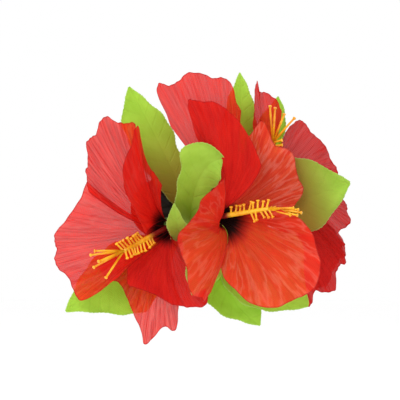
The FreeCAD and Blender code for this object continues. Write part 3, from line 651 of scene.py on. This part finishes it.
def make_leaf(name, leaf, material):
    """A serrated blade, slightly folded along its bowed midrib, with pressed side veins."""
    heel, bow, tip, left, right, fold, painted_heel_shade_and_bounce = leaf
    along, across = grid_shares(LEAF_ROWS, LEAF_COLUMNS, LEAF_LAST_ROW)
    spine = [place(heel), place(bow), place(tip)]
    centre = bezier(spine, along[..., None])
    forward = unit(bezier([spine[1] - spine[0], spine[2] - spine[1]], along[..., None]))
    sideways = unit(np.cross(forward, np.array((0, -1.0, 0))))
    outward = np.cross(sideways, forward)
    outward = outward * np.where(outward[..., 1:2] > 0, -1, 1)
    widths = [along_rim(np.array(side, float)[:, None], along)[..., 0] for side in (left, right)]
    blade = np.maximum(np.where(across > 0, widths[1], widths[0]), 0)
    chance = np.random.default_rng(sum(map(ord, name)))
    phase = chance.uniform(0, 2 * math.pi, 4)
    length = np.linalg.norm(np.diff(centre[:, 0], axis=0), axis=-1).sum()
    run = along * length
    teeth = (0.35 * ((run / 1.6 + 0.15 * np.sin(run)) % 1.0)
             + 0.4 * np.sin(run * 0.55 + phase[3] + across))
    rim = np.clip((np.abs(across) - 0.8) / 0.2, 0, 1) * np.clip(blade / 4, 0, 1)
    reach = across * blade + np.sign(across) * teeth * rim
    lift = fold * np.abs(reach) * np.minimum(1, np.abs(reach) / LEAF_FOLD_WIDTH)
    wave = np.sin(along * 9 + phase[0] + across) * 0.5 + np.sin(along * 17 + phase[1]) * 0.25 * across
    vein_place = (run - np.abs(reach) * 0.85) / 6.5
    vein = np.maximum(0, 1 - np.abs((vein_place + phase[2]) % 1 - 0.5) * 9)
    midrib = np.exp(-((reach / 0.55) ** 2))
    vein = np.maximum(vein * np.clip(np.abs(across) * 4, 0, 1), midrib)
    lift = lift + wave * across**2 - 0.12 * vein
    points = centre + sideways * reach[..., None] + outward * lift[..., None]
    to_side = (1 - np.abs(across)) * blade
    # The heel value places the painted shade and red bounce light.
    piece = grid_object(f"leaf_{name}_cloth", points, {
        "painted_heel_shade_and_bounce": painted_heel_shade_and_bounce * np.clip(1.1 - 1.1 * along, 0, 1), "vein": vein, "edge": to_side})
    thick = piece.modifiers.new("thickness", "SOLIDIFY")
    thick.thickness = LEAF_THICKNESS * MM
    thick.offset = 0
    paint(piece, material)
    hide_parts(f"leaf_{name}")
    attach(piece, ROOT)


# Stamens, spring, pad and glue


def make_stamen(name, flower, material):
    """Moulded column with curved filaments that end in anthers, and branched tip."""
    facing = unit(place(flower["facing"]))
    throat, tip = place(flower["throat"]), place(flower["column_tip"])
    knee = throat + facing * PEG_LENGTH / 2
    forward = unit(tip - knee)
    across = unit(np.cross(forward, np.array((0, 1.0, 0))))
    toward = unit(np.cross(forward, across))
    chance = np.random.default_rng(len(name))
    shares = np.linspace(0, 1, 16)
    column = [throat - facing * PEG_LENGTH, throat - facing * 0.5]
    column += [knee + (tip - knee) * s for s in shares]
    radii = [1.5, 1.5] + [1.45 - 0.5 * s + 0.06 * math.sin(18 * s) for s in shares]
    tubes = [(column, radii)]
    bulb = np.array([0.6, 0.55, 0.52, 0.5, 0.52, 0.8, 0.92, 0.85, 0.55, 0.12])
    ends = []
    for count, side, ahead in zip(flower["filaments"], (-1, 1, 0), (0.25, 0.25, -1)):
        for i in range(count):
            root = knee + (tip - knee) * (0.98 - flower["filament_step"] * i - 0.02 * side)
            lean = across * side + forward * chance.uniform(0.3, 0.6)
            lean = lean + toward * (ahead + chance.uniform(-0.3, 0.3))
            end = root + unit(lean) * chance.uniform(4.2, 5.4)
            ends.append((root, end, 0.6 * chance.uniform(-1, 1)))
    for branch in flower["branches"]:
        ends.append((tip, place(branch), chance.uniform(-1.2, 1.2)))
    for root, end, sag in ends:
        middle = (root + end) / 2 + forward * abs(sag) * 0.6 + across * sag * 0.4
        steps = np.array([0, 0.25, 0.5, 0.7, 0.84, 0.9, 0.94, 0.97, 0.99, 1.0])[:, None]
        length = np.linalg.norm(end - root)
        steps = 1 - (1 - steps) * np.clip(5.5 / length, 0.4, 1) if length > 8 else steps
        steps[0] = 0
        tubes.append((bezier([root, middle, end + unit(end - root) * 0.7], steps), bulb))
    piece = tubes_object(f"{name}_stamen_moulding", tubes)
    corners = np.array([tuple(vertex.co) for vertex in piece.data.vertices]) / MM
    # Distance from the throat, as a share of the painted shade's reach.
    distance = np.linalg.norm(corners - throat, axis=-1) / flower["column_shade_reach"]
    fact = piece.data.attributes.new("from_throat", "FLOAT", "POINT")
    fact.data.foreach_set("value", distance.astype(np.float32))
    paint(piece, material)
    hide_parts(f"{name}_stamen")
    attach(piece, ROOT)


def make_spring(material):
    """Wire coil about the pin with one leg on each tail."""
    pivot = np.array(frame["joints"][0]["pos_m"]) / MM
    height = SPRING_PITCH * SPRING_TURNS
    angles = math.radians(SPRING_START) + np.linspace(0, 2 * math.pi * SPRING_TURNS, 120)
    levels = np.linspace(-height / 2, height / 2, 120)
    coil = np.stack([SPRING_RADIUS * np.cos(angles), SPRING_RADIUS * np.sin(angles), levels], axis=-1)
    lean = math.radians(SPRING_LEG_ANGLE)
    tail = np.array((math.cos(lean), math.sin(lean), 0))
    first = [coil[0] + tail * s for s in np.linspace(SPRING_LEG, SPRING_BEND, 14)]
    last = [coil[-1] + np.array((1.0, 0, 0)) * s for s in np.linspace(SPRING_BEND, SPRING_LEG, 14)]
    path = np.vstack([first, coil, last]) + pivot
    piece = tubes_object("torsion_spring_wire", [(path, [SPRING_WIRE] * len(path))])
    paint(piece, material)
    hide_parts("torsion_spring")
    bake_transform(piece)


def stadium_slab(name, node, edge_round, lump, seed):
    """A slab with half-round ends filling a node's box, with a rounded and slightly lumpy front."""
    low, high = (np.array(corner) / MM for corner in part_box(node))
    half_height = (high[2] - low[2]) / 2
    centre_x, centre_z = (low[0] + high[0]) / 2, (low[2] + high[2]) / 2
    straight = (high[0] - low[0]) / 2 - half_height
    turns = np.linspace(0, 2 * math.pi, 160, endpoint=False)
    outline = np.stack([np.sign(np.cos(turns)) * straight + half_height * np.cos(turns),
                        half_height * np.sin(turns)], axis=-1)
    depth = high[1] - low[1]
    rounds = np.linspace(0, math.pi / 2, 6)
    rings = [(0.03, high[1]), (0.6, high[1])]
    rings += [(1.0, high[1]), (1.0, high[1] - (depth - edge_round) / 2)]
    for turn in rounds:
        inset = edge_round * (1 - math.cos(turn)) / half_height
        rings.append((1 - inset, low[1] + edge_round * (1 - math.sin(turn))))
    front = 1 - edge_round / half_height
    rings += [(front * share, low[1]) for share in np.linspace(0.85, 0.03, 9)]
    vertices, faces = [], []
    chance = np.random.default_rng(seed)
    phase = chance.uniform(0, 2 * math.pi, 4)
    for size, level in rings:
        ring = outline * size
        push = lump * (np.sin(ring[:, 0] * 0.5 + phase[0]) + np.sin(ring[:, 1] * 0.7 + phase[1])
                       + np.sin(ring[:, 0] * 1.1 + ring[:, 1] * 0.9 + phase[2])) / 3
        push = np.abs(push) * (level < high[1] - depth / 2)
        vertices += [(centre_x + x, level + p, centre_z + z) for (x, z), p in zip(ring, push)]
    count = len(outline)
    for ring in range(len(rings) - 1):
        for i in range(count):
            a, b = ring * count + i, ring * count + (i + 1) % count
            faces.append((a, b, b + count, a + count))
    faces.append(tuple(range(count - 1, -1, -1)))
    faces.append(tuple(range((len(rings) - 1) * count, len(rings) * count)))
    piece = new_object(name, np.array(vertices) * MM, faces)
    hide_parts(node)
    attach(piece, ROOT)
    return piece


# Studio


def make_studio():
    """Pale floor a little below the spray, soft lights and a white surround."""
    half, level = FLOOR_HALF, cad_box[0].z - FLOOR_DROP
    corners = [(-half, -half, level), (half, -half, level), (half, half, level), (-half, half, level)]
    floor = new_object("studio_floor", corners, [(0, 1, 2, 3)])
    nodes = Nodes("pale_floor")
    white = colour(0.99, 0.99, 0.99)
    shader = nodes.add("ShaderNodeBsdfPrincipled", {"Base Color": white, "Roughness": 1.0})
    paint(floor, nodes.finish(shader.outputs[0]))
    world = bpy.data.worlds.new("studio")
    world.use_nodes = True
    surround = world.node_tree.nodes["Background"]
    surround.inputs["Color"].default_value = colour(1, 1, 1)
    surround.inputs["Strength"].default_value = 1.0
    bpy.context.scene.world = world
    for name, spot, size, power in LIGHTS:
        light = bpy.data.lights.new(name, "AREA")
        light.size = size
        light.energy = power
        lamp = bpy.data.objects.new(name, light)
        lamp.location = spot
        lamp.rotation_euler = (-Vector(spot)).to_track_quat("-Z", "Y").to_euler()
        bpy.context.scene.collection.objects.link(lamp)


def make_camera():
    """A long lens square on to the front of the spray."""
    camera = bpy.data.cameras.new("camera")
    camera.sensor_width = 36
    camera.lens = camera.sensor_width * CAMERA_DISTANCE / CAMERA_FIELD
    camera.clip_end = 100
    body = bpy.data.objects.new("camera", camera)
    body.location = (CAMERA_CENTRE[0], -CAMERA_DISTANCE - SPRAY_MIDDLE_OUT, CAMERA_CENTRE[1])
    body.rotation_euler = (math.radians(90), 0, 0)
    bpy.context.scene.collection.objects.link(body)
    bpy.context.scene.camera = body


def make_flowers():
    cloth, gold, green = sheer_red(), golden_plastic(), green_plastic()
    for name, flower in FLOWERS.items():
        for order, petal in enumerate(flower["petals"]):
            make_petal(name, order, petal, cloth)
        make_stamen(name, flower, gold)
        paint_node(f"{name}_calyx", green)
        paint_node(f"{name}_stem", green)


def make_leaves():
    cloth = leaf_green()
    for name, leaf in LEAVES.items():
        make_leaf(name, leaf, cloth)


def make_backing():
    felt = stadium_slab("felt_pad_cloth", "felt_pad", 0.6, 0.12, 3)
    paint(felt, black_felt())
    glue = stadium_slab("glue_mound_set", "glue_mound", 2.6, 1.1, 5)
    paint(glue, set_glue())
    metal = nickel_plate()
    for node in ("front_arm", "back_arm", "hinge_pin"):
        paint_node(node, metal)
    make_spring(spring_wire())


make_flowers()
make_leaves()
make_backing()
make_studio()
make_camera()
bpy.context.scene.view_settings.view_transform = "Standard"
